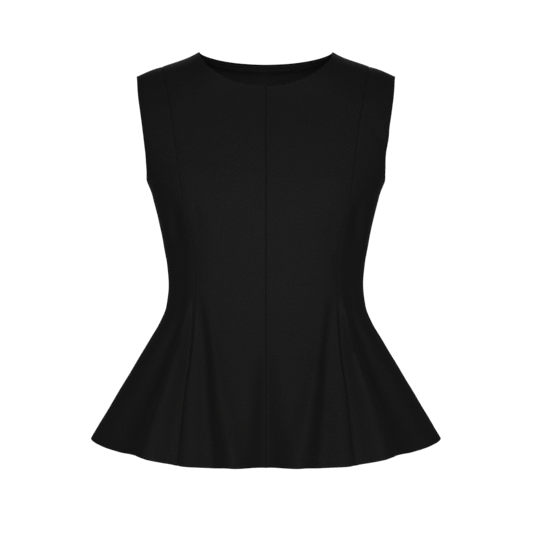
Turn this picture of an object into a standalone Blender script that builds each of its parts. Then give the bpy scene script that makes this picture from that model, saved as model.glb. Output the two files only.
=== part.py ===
"""A sleeveless top with princess seams and a flared peplum, filled out with no wearer.

Metres. +Z is up, the front faces -Y and the wearer's left is at +X. The origin is midway
between the two points where the neckline meets the shoulders. Each panel is a cloth wall of
its own, open at the neck, the armholes and the hem.
"""

import math

import bpy
import numpy as np

# Cloth
WALL = 0.0020
SEAM_GAP = 0.0003
FACING_WALL = 0.0012
FACING_GAP = 0.0010

# Neck: half its width at the shoulders, how far it drops in the middle, and how round its
# corners are.
NECK_HALF = 0.093
FRONT_NECK_DROP = 0.0556
FRONT_NECK_CURVE = 0.588
BACK_NECK_DROP = 0.0122
BACK_NECK_CURVE = 0.70

# Heights of the two levels that cross every panel.
UNDERARM = -0.1834
WAIST = -0.3280

# Height below the shoulder line over which the cloth rounds from the ridge to the chest.
SHOULDER_ROUNDING = 0.072

# Shoulder seam, from the middle of the neck out to the tip. The rows inside the neck only
# carry the rounding across it.
SHOULDER_COLUMNS = ("x", "height")
SHOULDER = (
    (0.000, 0.0300),
    (0.050, 0.0190),
    (0.093, 0.0000),
    (0.100, -0.0040),
    (0.111, -0.0090),
    (0.128, -0.0149),
    (0.145, -0.0204),
    (0.161, -0.0258),
    (0.179, -0.0336),
)

# The form at each level: half its width, how far the front and the back stand from the side
# seams, and the power of its ring, 2 for an ellipse and more for fuller corners.
LEVEL_COLUMNS = ("height", "half_width", "front", "back", "power")
LEVELS = (
    (-0.5700, 0.2630, 0.1690, 0.1530, 2.00),
    (-0.5348, 0.2419, 0.1570, 0.1405, 2.00),
    (-0.5000, 0.2211, 0.1450, 0.1280, 2.02),
    (-0.4500, 0.1911, 0.1275, 0.1095, 2.12),
    (-0.4000, 0.1612, 0.1122, 0.0910, 2.30),
    (-0.3780, 0.1484, 0.1078, 0.0835, 2.50),
    (-0.3556, 0.1399, 0.1055, 0.0770, 2.80),
    (-0.3280, 0.1369, 0.1050, 0.0730, 3.20),
    (-0.2996, 0.1389, 0.1076, 0.0752, 3.35),
    (-0.2660, 0.1436, 0.1118, 0.0810, 3.40),
    (-0.2324, 0.1501, 0.1162, 0.0872, 3.40),
    (-0.2100, 0.1558, 0.1184, 0.0905, 3.40),
    (-0.1988, 0.1588, 0.1190, 0.0920, 3.34),
    (-0.1834, 0.1650, 0.1188, 0.0935, 3.34),
    (-0.1700, 0.1690, 0.1170, 0.0940, 3.30),
    (-0.1540, 0.1750, 0.1132, 0.0938, 3.25),
    (-0.1316, 0.1847, 0.1065, 0.0918, 3.20),
    (-0.1092, 0.1897, 0.0980, 0.0880, 3.15),
    (-0.0868, 0.1930, 0.0880, 0.0828, 3.05),
    (-0.0556, 0.1970, 0.0755, 0.0740, 2.90),
    (-0.0336, 0.1980, 0.0708, 0.0680, 2.75),
    (-0.0113, 0.1980, 0.0675, 0.0615, 2.60),
    (0.0300, 0.1980, 0.0620, 0.0520, 2.50),
)

# Armhole edge, from the underarm up to the shoulder tip.
ARMHOLE_COLUMNS = ("height", "x")
ARMHOLE = (
    (-0.1834, 0.1650),
    (-0.1700, 0.1638),
    (-0.1540, 0.1641),
    (-0.1316, 0.1662),
    (-0.1092, 0.1691),
    (-0.0868, 0.1728),
    (-0.0644, 0.1765),
    (-0.0450, 0.1788),
    (-0.0336, 0.1796),
)

# Princess seams, from the hem up to the shoulder.
PRINCESS_COLUMNS = ("height", "front_x", "back_x")
PRINCESS = (
    (-0.5700, 0.1207, 0.1130),
    (-0.5290, 0.1161, 0.1070),
    (-0.4630, 0.1085, 0.0970),
    (-0.4290, 0.1032, 0.0915),
    (-0.4020, 0.1006, 0.0880),
    (-0.3720, 0.0985, 0.0850),
    (-0.3420, 0.0970, 0.0830),
    (-0.3120, 0.0966, 0.0832),
    (-0.2850, 0.0987, 0.0855),
    (-0.2580, 0.1025, 0.0900),
    (-0.2340, 0.1077, 0.0950),
    (-0.2130, 0.1124, 0.0995),
    (-0.1930, 0.1144, 0.1035),
    (-0.1700, 0.1177, 0.1075),
    (-0.1350, 0.1223, 0.1140),
    (-0.0930, 0.1290, 0.1230),
    (-0.0600, 0.1350, 0.1310),
    (-0.0204, 0.1450, 0.1450),
    (0.0000, 0.1500, 0.1510),
)

# Hem, by place round the form: 0 is the middle, 1 a princess seam and 2 a side seam.
HEM_COLUMNS = ("place", "front_height", "back_height")
HEM = (
    (0.00, -0.5651, -0.5634),
    (0.20, -0.5642, -0.5640),
    (0.40, -0.5637, -0.5645),
    (0.60, -0.5657, -0.5645),
    (0.80, -0.5643, -0.5635),
    (1.00, -0.5625, -0.5608),
    (1.06, -0.5600, -0.5590),
    (1.12, -0.5556, -0.5565),
    (1.18, -0.5524, -0.5543),
    (1.24, -0.5516, -0.5530),
    (1.31, -0.5518, -0.5522),
    (1.40, -0.5517, -0.5509),
    (1.50, -0.5498, -0.5488),
    (1.60, -0.5466, -0.5462),
    (1.70, -0.5430, -0.5434),
    (1.82, -0.5404, -0.5406),
    (2.00, -0.5385, -0.5385),
)

# Flutes of the peplum: each starts at a share of the peplum's height and runs from a place at
# the waist to a place at the hem, where it has a width in the same steps and stands out, or in
# where the number is below zero.
FLUTE_COLUMNS = ("start", "waist_place", "hem_place", "hem_width", "out")
FRONT_FLUTES = (
    (0.28, 0.00, 0.00, 0.19, -0.0205),
    (0.05, 0.87, 0.35, 0.16, 0.0115),
    (0.05, 0.95, 0.62, 0.16, -0.0140),
    (0.05, 1.04, 1.040, 0.070, -0.0125),
    (0.05, 1.09, 1.145, 0.11, 0.0215),
    (0.00, 1.28, 1.44, 0.20, -0.0140),
)
BACK_FLUTES = (
    (0.10, 0.00, 0.00, 0.17, -0.0160),
    (0.10, 0.62, 0.38, 0.16, 0.0130),
    (0.05, 0.96, 0.67, 0.16, -0.0150),
    (0.05, 1.05, 1.050, 0.075, -0.0100),
    (0.05, 1.10, 1.170, 0.12, 0.0200),
    (0.00, 1.29, 1.47, 0.20, -0.0140),
)
FLUTE_GROWTH = 1.8
# Share of a side panel, next to its side seam, over which the flutes die away.
SIDE_CALM = 0.15

# Fullness over the bust, which the princess seams are cut to give, and the hollows beside the
# seams under it: the middle of each, its reach round the form and up and down, and how far it
# stands out or in.
FULLNESS_COLUMNS = ("place", "height", "width", "tall", "out")
FRONT_FULLNESS = (
    (0.96, -0.2030, 0.42, 0.048, 0.0030),
    (1.22, -0.2250, 0.13, 0.022, -0.0030),
    (1.30, -0.2550, 0.20, 0.028, -0.0065),
    (1.45, -0.2920, 0.34, 0.036, -0.0085),
    (1.52, -0.3350, 0.40, 0.040, -0.0035),
)
BACK_FULLNESS = (
    (1.28, -0.2550, 0.20, 0.034, -0.0040),
    (1.45, -0.2980, 0.34, 0.040, -0.0050),
)

# Where the panels' columns stand, by place. A column is added where the neckline ends.
FRONT_PLACES = (0.0, 0.07, 0.14, 0.24, 0.35, 0.45, 0.55, 0.64, 0.71, 0.78, 0.85, 0.91, 0.96, 1.0)
BACK_PLACES = (0.0, 0.09, 0.18, 0.28, 0.38, 0.46, 0.54, 0.63, 0.71, 0.79, 0.86, 0.92, 0.96, 1.0)
SIDE_PLACES = (1.0, 1.035, 1.07, 1.12, 1.17, 1.23, 1.31, 1.43, 1.58, 1.75, 1.89, 2.0)

# Rows from the shoulder down to the underarm, as shares of that height: on the princess seam
# and inside it, and on the armhole, whose bottom turns fast.
ROW_COLUMNS = ("inner_share", "armhole_share")
UPPER_ROWS = (
    (0.000, 0.000),
    (0.009, 0.009),
    (0.031, 0.031),
    (0.068, 0.070),
    (0.123, 0.130),
    (0.203, 0.220),
    (0.307, 0.340),
    (0.420, 0.480),
    (0.540, 0.620),
    (0.655, 0.750),
    (0.770, 0.860),
    (0.885, 0.945),
    (0.950, 0.983),
    (1.000, 1.000),
)
BODICE_ROWS = 6
PEPLUM_ROWS = 9

# Rows and columns of the back middle that the neck facing covers.
FACING_FIRST_ROW = 2
FACING_LAST_ROW = 6
FACING_LAST_PLACE = 0.54

# Steps for the slope of the form, and how near its ridge and side seams it is read.
SLOPE_STEP = 0.0000001
RIDGE_MARGIN = 0.000001
SIDE_MARGIN = math.radians(0.5)

# Finish
CLOTH_COLOR = (0.016, 0.0155, 0.0152, 1.0)
CLOTH_ROUGHNESS = 0.82
COLLECTION_NAME = "sleeveless_peplum_top"


class SmoothCurve:
    """A smooth line through one column of a table, which never swings past its rows."""

    def __init__(self, rows, columns, along, value):
        ordered = sorted(rows, key=lambda row: row[columns.index(along)])
        self.places = np.array([row[columns.index(along)] for row in ordered], float)
        self.values = np.array([row[columns.index(value)] for row in ordered], float)
        rises = np.diff(self.values) / np.diff(self.places)
        before, after = rises[:-1], rises[1:]
        steady = before * after > 0
        total = np.where(steady, before + after, 1.0)
        inner = np.where(steady, 2.0 * before * after / total, 0.0)
        self.slopes = np.concatenate(([rises[0]], inner, [rises[-1]]))

    def __call__(self, at):
        at = np.clip(at, self.places[0], self.places[-1])
        row = np.searchsorted(self.places, at, side="right") - 1
        row = np.clip(row, 0, len(self.places) - 2)
        span = self.places[row + 1] - self.places[row]
        part = (at - self.places[row]) / span
        rest = 1.0 - part
        start = self.values[row] * (1.0 + 2.0 * part) * rest**2
        end = self.values[row + 1] * (3.0 - 2.0 * part) * part**2
        leave = self.slopes[row] * span * part * rest**2
        arrive = self.slopes[row + 1] * span * part**2 * rest
        return start + end + leave - arrive


shoulder_height = SmoothCurve(SHOULDER, SHOULDER_COLUMNS, "x", "height")
half_width = SmoothCurve(LEVELS, LEVEL_COLUMNS, "height", "half_width")
ring_power = SmoothCurve(LEVELS, LEVEL_COLUMNS, "height", "power")
armhole_x = SmoothCurve(ARMHOLE, ARMHOLE_COLUMNS, "height", "x")


class Face:
    """The front or the back of the top, on its right half seen from the front."""

    def __init__(self, name, sign, neck_drop, neck_curve, flutes, fullness):
        self.sign = sign
        self.fullness = fullness
        self.neck_drop = neck_drop
        self.neck_curve = neck_curve
        self.flutes = flutes
        self.reach = SmoothCurve(LEVELS, LEVEL_COLUMNS, "height", name)
        self.princess_x = SmoothCurve(PRINCESS, PRINCESS_COLUMNS, "height", name + "_x")
        self.hem_height = SmoothCurve(HEM, HEM_COLUMNS, "place", name + "_height")

    def top_height(self, x):
        """Height of the neckline at x, or of the shoulder seam past its end."""
        inside = np.clip(1.0 - (x / NECK_HALF) ** 2, 0.0, 1.0)
        neckline = -self.neck_drop * inside**self.neck_curve
        return np.where(x < NECK_HALF, neckline, shoulder_height(x))

    def angle_of_x(self, x, height):
        """Angle round the ring at which the form is x wide of the middle."""
        share = np.clip(x / half_width(height), 0.0, 1.0)
        return np.arcsin(share ** (ring_power(height) / 2.0))

    def side_angle(self, height):
        """Angle of the side panel's outer edge: the armhole's above the underarm."""
        on_armhole = self.angle_of_x(armhole_x(height), height)
        return np.where(height > UNDERARM, on_armhole, math.pi / 2.0)

    def angle_of_place(self, place, height):
        """Angle of a place: 0 is the middle, 1 the princess seam and 2 the outer edge."""
        seam_x = self.princess_x(height)
        centre = self.angle_of_x(np.minimum(place, 1.0) * seam_x, height)
        seam = self.angle_of_x(seam_x, height)
        past = np.maximum(place - 1.0, 0.0)
        return centre + past * (self.side_angle(height) - seam)

    def place_of_angle(self, angle, height):
        """The reverse of angle_of_place."""
        seam_x = self.princess_x(height)
        seam = self.angle_of_x(seam_x, height)
        x = half_width(height) * np.sin(np.minimum(angle, seam)) ** (2.0 / ring_power(height))
        past = np.maximum(angle - seam, 0.0) / (self.side_angle(height) - seam)
        return x / seam_x + past

    def push(self, angle, height):
        """How far the cloth stands out of its plain ring, over the bust and in the flutes."""
        place = self.place_of_angle(angle, height)
        push = np.zeros(np.broadcast(angle, height).shape)
        for middle, level, width, tall, out in self.fullness:
            across = (place - middle) / width
            up = (height - level) / tall
            push = push + out * np.exp(-(across**2) - up**2)
        down = np.clip((WAIST - height) / (WAIST - self.hem_height(place)), 0.0, 1.0)
        from_side = np.clip((2.0 - place) / SIDE_CALM, 0.0, 1.0)
        calm = from_side**2 * (3.0 - 2.0 * from_side)
        for start, waist_place, hem_place, hem_width, out in self.flutes:
            middle = waist_place + (hem_place - waist_place) * down
            width = hem_width * (0.32 + 0.68 * down)
            grown = np.clip((down - start) / (1.0 - start), 0.0, 1.0)
            size = out * calm * (1.0 - (1.0 - grown) ** FLUTE_GROWTH)
            push = push + size * np.exp(-(((place - middle) / width) ** 2))
        return push

    def point(self, angle, height):
        """A point of the outer side of the cloth."""
        power = 2.0 / ring_power(height)
        width = half_width(height)
        reach = self.reach(height)
        x = width * np.sin(angle) ** power
        depth = np.maximum(shoulder_height(x) - height, 0.0)
        left = np.clip(1.0 - depth / SHOULDER_ROUNDING, 0.0, 1.0)
        y = reach * np.cos(angle) ** power * np.sqrt(1.0 - left**2)
        across = np.sin(angle) * reach
        along = np.cos(angle) * width
        push = self.push(angle, height) / np.hypot(across, along)
        x = x + push * across
        y = y + push * along
        return np.stack(np.broadcast_arrays(x, self.sign * y, height), axis=-1)

    def normal(self, angle, height):
        """The outward direction of the cloth at a point."""
        angle = np.clip(angle, SLOPE_STEP, math.pi / 2.0 - SIDE_MARGIN)
        x = half_width(height) * np.sin(angle) ** (2.0 / ring_power(height))
        height = np.minimum(height, shoulder_height(x) - RIDGE_MARGIN)
        around = self.point(angle + SLOPE_STEP, height) - self.point(angle - SLOPE_STEP, height)
        down = self.point(angle, height - SLOPE_STEP) - self.point(angle, height + SLOPE_STEP)
        outward = np.cross(around, down) * self.sign
        return outward / np.linalg.norm(outward, axis=-1, keepdims=True)

    def top_of_place(self, place):
        """Height of a column's top, where it meets the neckline or the shoulder seam."""
        low = np.zeros(np.shape(place))
        high = np.full(np.shape(place), SHOULDER[-1][0])
        for _ in range(50):
            x = (low + high) / 2.0
            height = self.top_height(x)
            width = half_width(height)
            column = self.angle_of_place(place, height)
            past = x > width * np.sin(column) ** (2.0 / ring_power(height))
            high = np.where(past, x, high)
            low = np.where(past, low, x)
        return self.top_height((low + high) / 2.0)


FRONT = Face("front", -1.0, FRONT_NECK_DROP, FRONT_NECK_CURVE, FRONT_FLUTES, FRONT_FULLNESS)
BACK = Face("back", 1.0, BACK_NECK_DROP, BACK_NECK_CURVE, BACK_FLUTES, BACK_FULLNESS)


def with_neck_end(face, places):
    """Add the column that stands where the neckline meets the shoulder."""
    neck_end = NECK_HALF / float(face.princess_x(0.0))
    return np.array(sorted(set(places) | {neck_end}))


def row_heights(face, places):
    """Heights of a panel's points, a row for each level and a column for each place."""
    top = face.top_of_place(places)
    hem = face.hem_height(places)
    shares = np.array(UPPER_ROWS, float)
    outwards = np.clip(places - 1.0, 0.0, 1.0)
    shares = shares[:, :1] + outwards * (shares[:, 1:] - shares[:, :1])
    upper = top + shares * (UNDERARM - top)
    bodice = np.linspace(UNDERARM, WAIST, BODICE_ROWS + 1)[1:]
    bodice = np.repeat(bodice[:, None], len(places), axis=1)
    shares = np.linspace(0.0, 1.0, PEPLUM_ROWS + 1)[1:]
    peplum = WAIST + shares[:, None] * (hem - WAIST)
    return np.concatenate((upper, bodice, peplum))


def panel_grid(face, places):
    """Outer points and outward directions of a panel on the right half."""
    heights = row_heights(face, places)
    places = np.repeat(places[None, :], len(heights), axis=0)
    angles = face.angle_of_place(places, heights)
    return face.point(angles, heights), face.normal(angles, heights)


def mirrored(grid):
    """The same grid on the other side, with its columns still running the same way."""
    return (grid * np.array((-1.0, 1.0, 1.0)))[:, ::-1]


def trimmed(points, first, last, top):
    """Draw the sewn edges back by half the gap that is left at a seam."""
    points = points.copy()
    inward = SEAM_GAP / 2.0

    def step(edge, inner):
        away = inner - edge
        return away / np.linalg.norm(away, axis=-1, keepdims=True) * inward

    sewn = np.zeros_like(points)
    if first:
        sewn[:, 0] += step(points[:, 0], points[:, 1])
    if last:
        sewn[:, -1] += step(points[:, -1], points[:, -2])
    for column in range(points.shape[1]):
        if top[column]:
            sewn[0, column] += step(points[0, column], points[1, column])
    return points + sewn


def wall_mesh(name, outer, inner):
    """Join an outer and an inner grid into one closed wall, with edges all round."""
    rows, columns = outer.shape[:2]
    verts = [tuple(point) for grid in (outer, inner) for row in grid for point in row]

    def index(side, row, column):
        return (side * rows + row) * columns + column

    faces = []
    for row in range(rows - 1):
        for column in range(columns - 1):
            corners = ((row, column), (row, column + 1), (row + 1, column + 1), (row + 1, column))
            faces.append([index(0, *corner) for corner in corners])
            faces.append([index(1, *corner) for corner in reversed(corners)])
    border = [(0, column) for column in range(columns)]
    border += [(row, columns - 1) for row in range(1, rows)]
    border += [(rows - 1, column) for column in range(columns - 2, -1, -1)]
    border += [(row, 0) for row in range(rows - 2, 0, -1)]
    for here, there in zip(border, border[1:] + border[:1]):
        faces.append([index(0, *here), index(1, *here), index(1, *there), index(0, *there)])
    mesh = bpy.data.meshes.new(name)
    mesh.from_pydata(verts, [], faces)
    if signed_volume(mesh) < 0.0:
        mesh.flip_normals()
    mesh.shade_smooth()
    mesh.set_sharp_from_angle(angle=math.radians(50.0))
    return mesh


def signed_volume(mesh):
    """Volume inside the mesh, below zero where its faces point inwards."""
    mesh.calc_loop_triangles()
    total = 0.0
    for triangle in mesh.loop_triangles:
        first, second, third = (mesh.vertices[i].co for i in triangle.vertices)
        total += first.dot(second.cross(third)) / 6.0
    return total


def cloth_material(name):
    """Matte black crepe."""
    material = bpy.data.materials.new(name)
    material.use_nodes = True
    shader = material.node_tree.nodes["Principled BSDF"]
    shader.inputs["Base Color"].default_value = CLOTH_COLOR
    shader.inputs["Roughness"].default_value = CLOTH_ROUGHNESS
    shader.inputs["Metallic"].default_value = 0.0
    return material


def add_piece(collection, name, points, normals, depth=0.0, thickness=WALL):
    """Add a wall that starts at a depth under the given points."""
    mesh = wall_mesh(name, points - normals * depth, points - normals * (depth + thickness))
    mesh.materials.append(cloth_material(name + "_cloth"))
    piece = bpy.data.objects.new(name, mesh)
    collection.objects.link(piece)
    return piece


def add_front_centre(collection):
    places = with_neck_end(FRONT, FRONT_PLACES)
    points, normals = panel_grid(FRONT, places)
    on_shoulder = places >= NECK_HALF / FRONT.princess_x(0.0) - SLOPE_STEP
    points = trimmed(points, True, True, on_shoulder)
    add_piece(collection, "front_centre_left", points, normals)
    add_piece(collection, "front_centre_right", mirrored(points), mirrored(normals))


def add_sides(collection, face, name):
    places = np.array(SIDE_PLACES)
    points, normals = panel_grid(face, places)
    rows = len(points)
    on_shoulder = np.full(len(places), True)
    moved = trimmed(points, True, False, on_shoulder)
    under = trimmed(points, False, True, np.full(len(places), False))
    first_seam_row = len(UPPER_ROWS) - 1
    for row in range(first_seam_row, rows):
        moved[row, -1] = under[row, -1]
    add_piece(collection, name + "_left", moved, normals)
    add_piece(collection, name + "_right", mirrored(moved), mirrored(normals))


def add_back_centre(collection):
    """Add the back middle, and the facing that lies against the inside of its neck."""
    places = with_neck_end(BACK, BACK_PLACES)
    points, normals = panel_grid(BACK, places)
    on_shoulder = places >= NECK_HALF / BACK.princess_x(0.0) - SLOPE_STEP
    right = trimmed(points, False, True, on_shoulder)
    whole = np.concatenate((mirrored(right)[:, :-1], right), axis=1)
    directions = np.concatenate((mirrored(normals)[:, :-1], normals), axis=1)
    add_piece(collection, "back_centre", whole, directions)
    middle = len(places) - 1
    reach = int(np.sum(places <= FACING_LAST_PLACE)) - 1
    rows = slice(FACING_FIRST_ROW, FACING_LAST_ROW + 1)
    columns = slice(middle - reach, middle + reach + 1)
    add_piece(
        collection,
        "back_neck_facing",
        whole[rows, columns],
        directions[rows, columns],
        depth=WALL + FACING_GAP,
        thickness=FACING_WALL,
    )


def main():
    for old in list(bpy.data.objects):
        bpy.data.objects.remove(old, do_unlink=True)
    collection = bpy.data.collections.new(COLLECTION_NAME)
    bpy.context.scene.collection.children.link(collection)
    add_front_centre(collection)
    add_sides(collection, FRONT, "front_side")
    add_back_centre(collection)
    add_sides(collection, BACK, "back_side")


if __name__ == "__main__":
    main()
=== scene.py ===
"""Looks of a black sleeveless top with princess seams and a flared peplum.

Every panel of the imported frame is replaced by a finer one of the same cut, with rolled seams,
turned edges, a hem and the creases of worn crepe.
"""

import math

import bpy
import numpy as np
from bpy.props import FloatProperty, FloatVectorProperty, PointerProperty
from bpy.types import Operator, Panel, PropertyGroup
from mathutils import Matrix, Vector


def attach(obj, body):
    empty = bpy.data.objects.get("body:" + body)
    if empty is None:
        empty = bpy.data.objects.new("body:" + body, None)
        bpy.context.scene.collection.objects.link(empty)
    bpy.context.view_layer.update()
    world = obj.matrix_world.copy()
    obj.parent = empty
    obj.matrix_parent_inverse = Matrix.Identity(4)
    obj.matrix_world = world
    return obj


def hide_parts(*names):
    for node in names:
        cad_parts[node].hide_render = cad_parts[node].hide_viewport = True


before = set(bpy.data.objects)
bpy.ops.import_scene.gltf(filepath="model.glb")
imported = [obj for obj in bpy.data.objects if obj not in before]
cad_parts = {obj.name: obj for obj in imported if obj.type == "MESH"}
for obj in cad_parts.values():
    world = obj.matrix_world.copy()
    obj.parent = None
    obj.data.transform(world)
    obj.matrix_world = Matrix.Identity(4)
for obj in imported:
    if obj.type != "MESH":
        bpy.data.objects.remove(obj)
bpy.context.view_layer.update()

bl_info = {
    "name": "Sleeveless peplum top",
    "version": (1, 0, 0),
    "blender": (4, 5, 0),
    "location": "View3D > Sidebar > Top",
    "description": "Makes the panels, hem and studio of a sleeveless top with a flared peplum",
    "category": "Add Mesh",
}

# The cut: the same sizes as the frame's solids, in metres

UNDERARM = -0.1834
WAIST = -0.3280
SHOULDER_ROUNDING = 0.072
NECK_CURVE = {"front": 0.588, "back": 0.70}

SHOULDER_COLUMNS = ("x", "height")
SHOULDER = (
    (0.000, 0.0300),
    (0.050, 0.0190),
    (0.093, 0.0000),
    (0.100, -0.0040),
    (0.111, -0.0090),
    (0.128, -0.0149),
    (0.145, -0.0204),
    (0.161, -0.0258),
    (0.179, -0.0336),
)

# Half the width, the reach of the front and of the back, and the power of each level's ring.
LEVEL_COLUMNS = ("height", "half_width", "front", "back", "power")
LEVELS = (
    (-0.5700, 0.2630, 0.1690, 0.1530, 2.00),
    (-0.5348, 0.2419, 0.1570, 0.1405, 2.00),
    (-0.5000, 0.2211, 0.1450, 0.1280, 2.02),
    (-0.4500, 0.1911, 0.1275, 0.1095, 2.12),
    (-0.4000, 0.1612, 0.1122, 0.0910, 2.30),
    (-0.3780, 0.1484, 0.1078, 0.0835, 2.50),
    (-0.3556, 0.1399, 0.1055, 0.0770, 2.80),
    (-0.3280, 0.1369, 0.1050, 0.0730, 3.20),
    (-0.2996, 0.1389, 0.1076, 0.0752, 3.35),
    (-0.2660, 0.1436, 0.1118, 0.0810, 3.40),
    (-0.2324, 0.1501, 0.1162, 0.0872, 3.40),
    (-0.2100, 0.1558, 0.1184, 0.0905, 3.40),
    (-0.1988, 0.1588, 0.1190, 0.0920, 3.34),
    (-0.1834, 0.1650, 0.1188, 0.0935, 3.34),
    (-0.1700, 0.1690, 0.1170, 0.0940, 3.30),
    (-0.1540, 0.1750, 0.1132, 0.0938, 3.25),
    (-0.1316, 0.1847, 0.1065, 0.0918, 3.20),
    (-0.1092, 0.1897, 0.0980, 0.0880, 3.15),
    (-0.0868, 0.1930, 0.0880, 0.0828, 3.05),
    (-0.0556, 0.1970, 0.0755, 0.0740, 2.90),
    (-0.0336, 0.1980, 0.0708, 0.0680, 2.75),
    (-0.0113, 0.1980, 0.0675, 0.0615, 2.60),
    (0.0300, 0.1980, 0.0620, 0.0520, 2.50),
)

ARMHOLE_COLUMNS = ("height", "x")
ARMHOLE = (
    (-0.1834, 0.1650),
    (-0.1700, 0.1638),
    (-0.1540, 0.1641),
    (-0.1316, 0.1662),
    (-0.1092, 0.1691),
    (-0.0868, 0.1728),
    (-0.0644, 0.1765),
    (-0.0450, 0.1788),
    (-0.0336, 0.1796),
)

PRINCESS_COLUMNS = ("height", "front_x", "back_x")
PRINCESS = (
    (-0.5700, 0.1207, 0.1130),
    (-0.5290, 0.1161, 0.1070),
    (-0.4630, 0.1085, 0.0970),
    (-0.4290, 0.1032, 0.0915),
    (-0.4020, 0.1006, 0.0880),
    (-0.3720, 0.0985, 0.0850),
    (-0.3420, 0.0970, 0.0830),
    (-0.3120, 0.0966, 0.0832),
    (-0.2850, 0.0987, 0.0855),
    (-0.2580, 0.1025, 0.0900),
    (-0.2340, 0.1077, 0.0950),
    (-0.2130, 0.1124, 0.0995),
    (-0.1930, 0.1144, 0.1035),
    (-0.1700, 0.1177, 0.1075),
    (-0.1350, 0.1223, 0.1140),
    (-0.0930, 0.1290, 0.1230),
    (-0.0600, 0.1350, 0.1310),
    (-0.0204, 0.1450, 0.1450),
    (0.0000, 0.1500, 0.1510),
)

HEM_COLUMNS = ("place", "front_height", "back_height")
HEM = (
    (0.00, -0.5651, -0.5634),
    (0.20, -0.5642, -0.5640),
    (0.40, -0.5637, -0.5645),
    (0.60, -0.5657, -0.5645),
    (0.80, -0.5643, -0.5635),
    (1.00, -0.5625, -0.5608),
    (1.06, -0.5600, -0.5590),
    (1.12, -0.5556, -0.5565),
    (1.18, -0.5524, -0.5543),
    (1.24, -0.5516, -0.5530),
    (1.31, -0.5518, -0.5522),
    (1.40, -0.5517, -0.5509),
    (1.50, -0.5498, -0.5488),
    (1.60, -0.5466, -0.5462),
    (1.70, -0.5430, -0.5434),
    (1.82, -0.5404, -0.5406),
    (2.00, -0.5385, -0.5385),
)

# Flutes: how far down the peplum each starts, its place at the waist, its place and width at the
# hem, and how far it stands out there.
FLUTES = {
    "front": (
        (0.28, 0.00, 0.00, 0.19, -0.0205),
        (0.05, 0.87, 0.35, 0.16, 0.0115),
        (0.05, 0.95, 0.62, 0.16, -0.0140),
        (0.05, 1.04, 1.040, 0.070, -0.0125),
        (0.05, 1.09, 1.145, 0.11, 0.0215),
        (0.00, 1.28, 1.44, 0.20, -0.0140),
    ),
    "back": (
        (0.10, 0.00, 0.00, 0.17, -0.0160),
        (0.10, 0.62, 0.38, 0.16, 0.0130),
        (0.05, 0.96, 0.67, 0.16, -0.0150),
        (0.05, 1.05, 1.050, 0.075, -0.0100),
        (0.05, 1.10, 1.170, 0.12, 0.0200),
        (0.00, 1.29, 1.47, 0.20, -0.0140),
    ),
}
FLUTE_GROWTH = 1.8
FLUTE_WAIST_SHARE = 0.32
SIDE_CALM = 0.15

# Fullness over the bust and the hollows under it: the place and height of each one's middle, its
# reach round the form and up and down, and how far it stands out or in.
FULLNESS = {
    "front": (
        (0.96, -0.2030, 0.42, 0.048, 0.0030),
        (1.22, -0.2250, 0.13, 0.022, -0.0030),
        (1.30, -0.2550, 0.20, 0.028, -0.0065),
        (1.45, -0.2920, 0.34, 0.036, -0.0085),
        (1.52, -0.3350, 0.40, 0.040, -0.0035),
    ),
    "back": (
        (1.28, -0.2550, 0.20, 0.034, -0.0040),
        (1.45, -0.2980, 0.34, 0.040, -0.0050),
    ),
}

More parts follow.
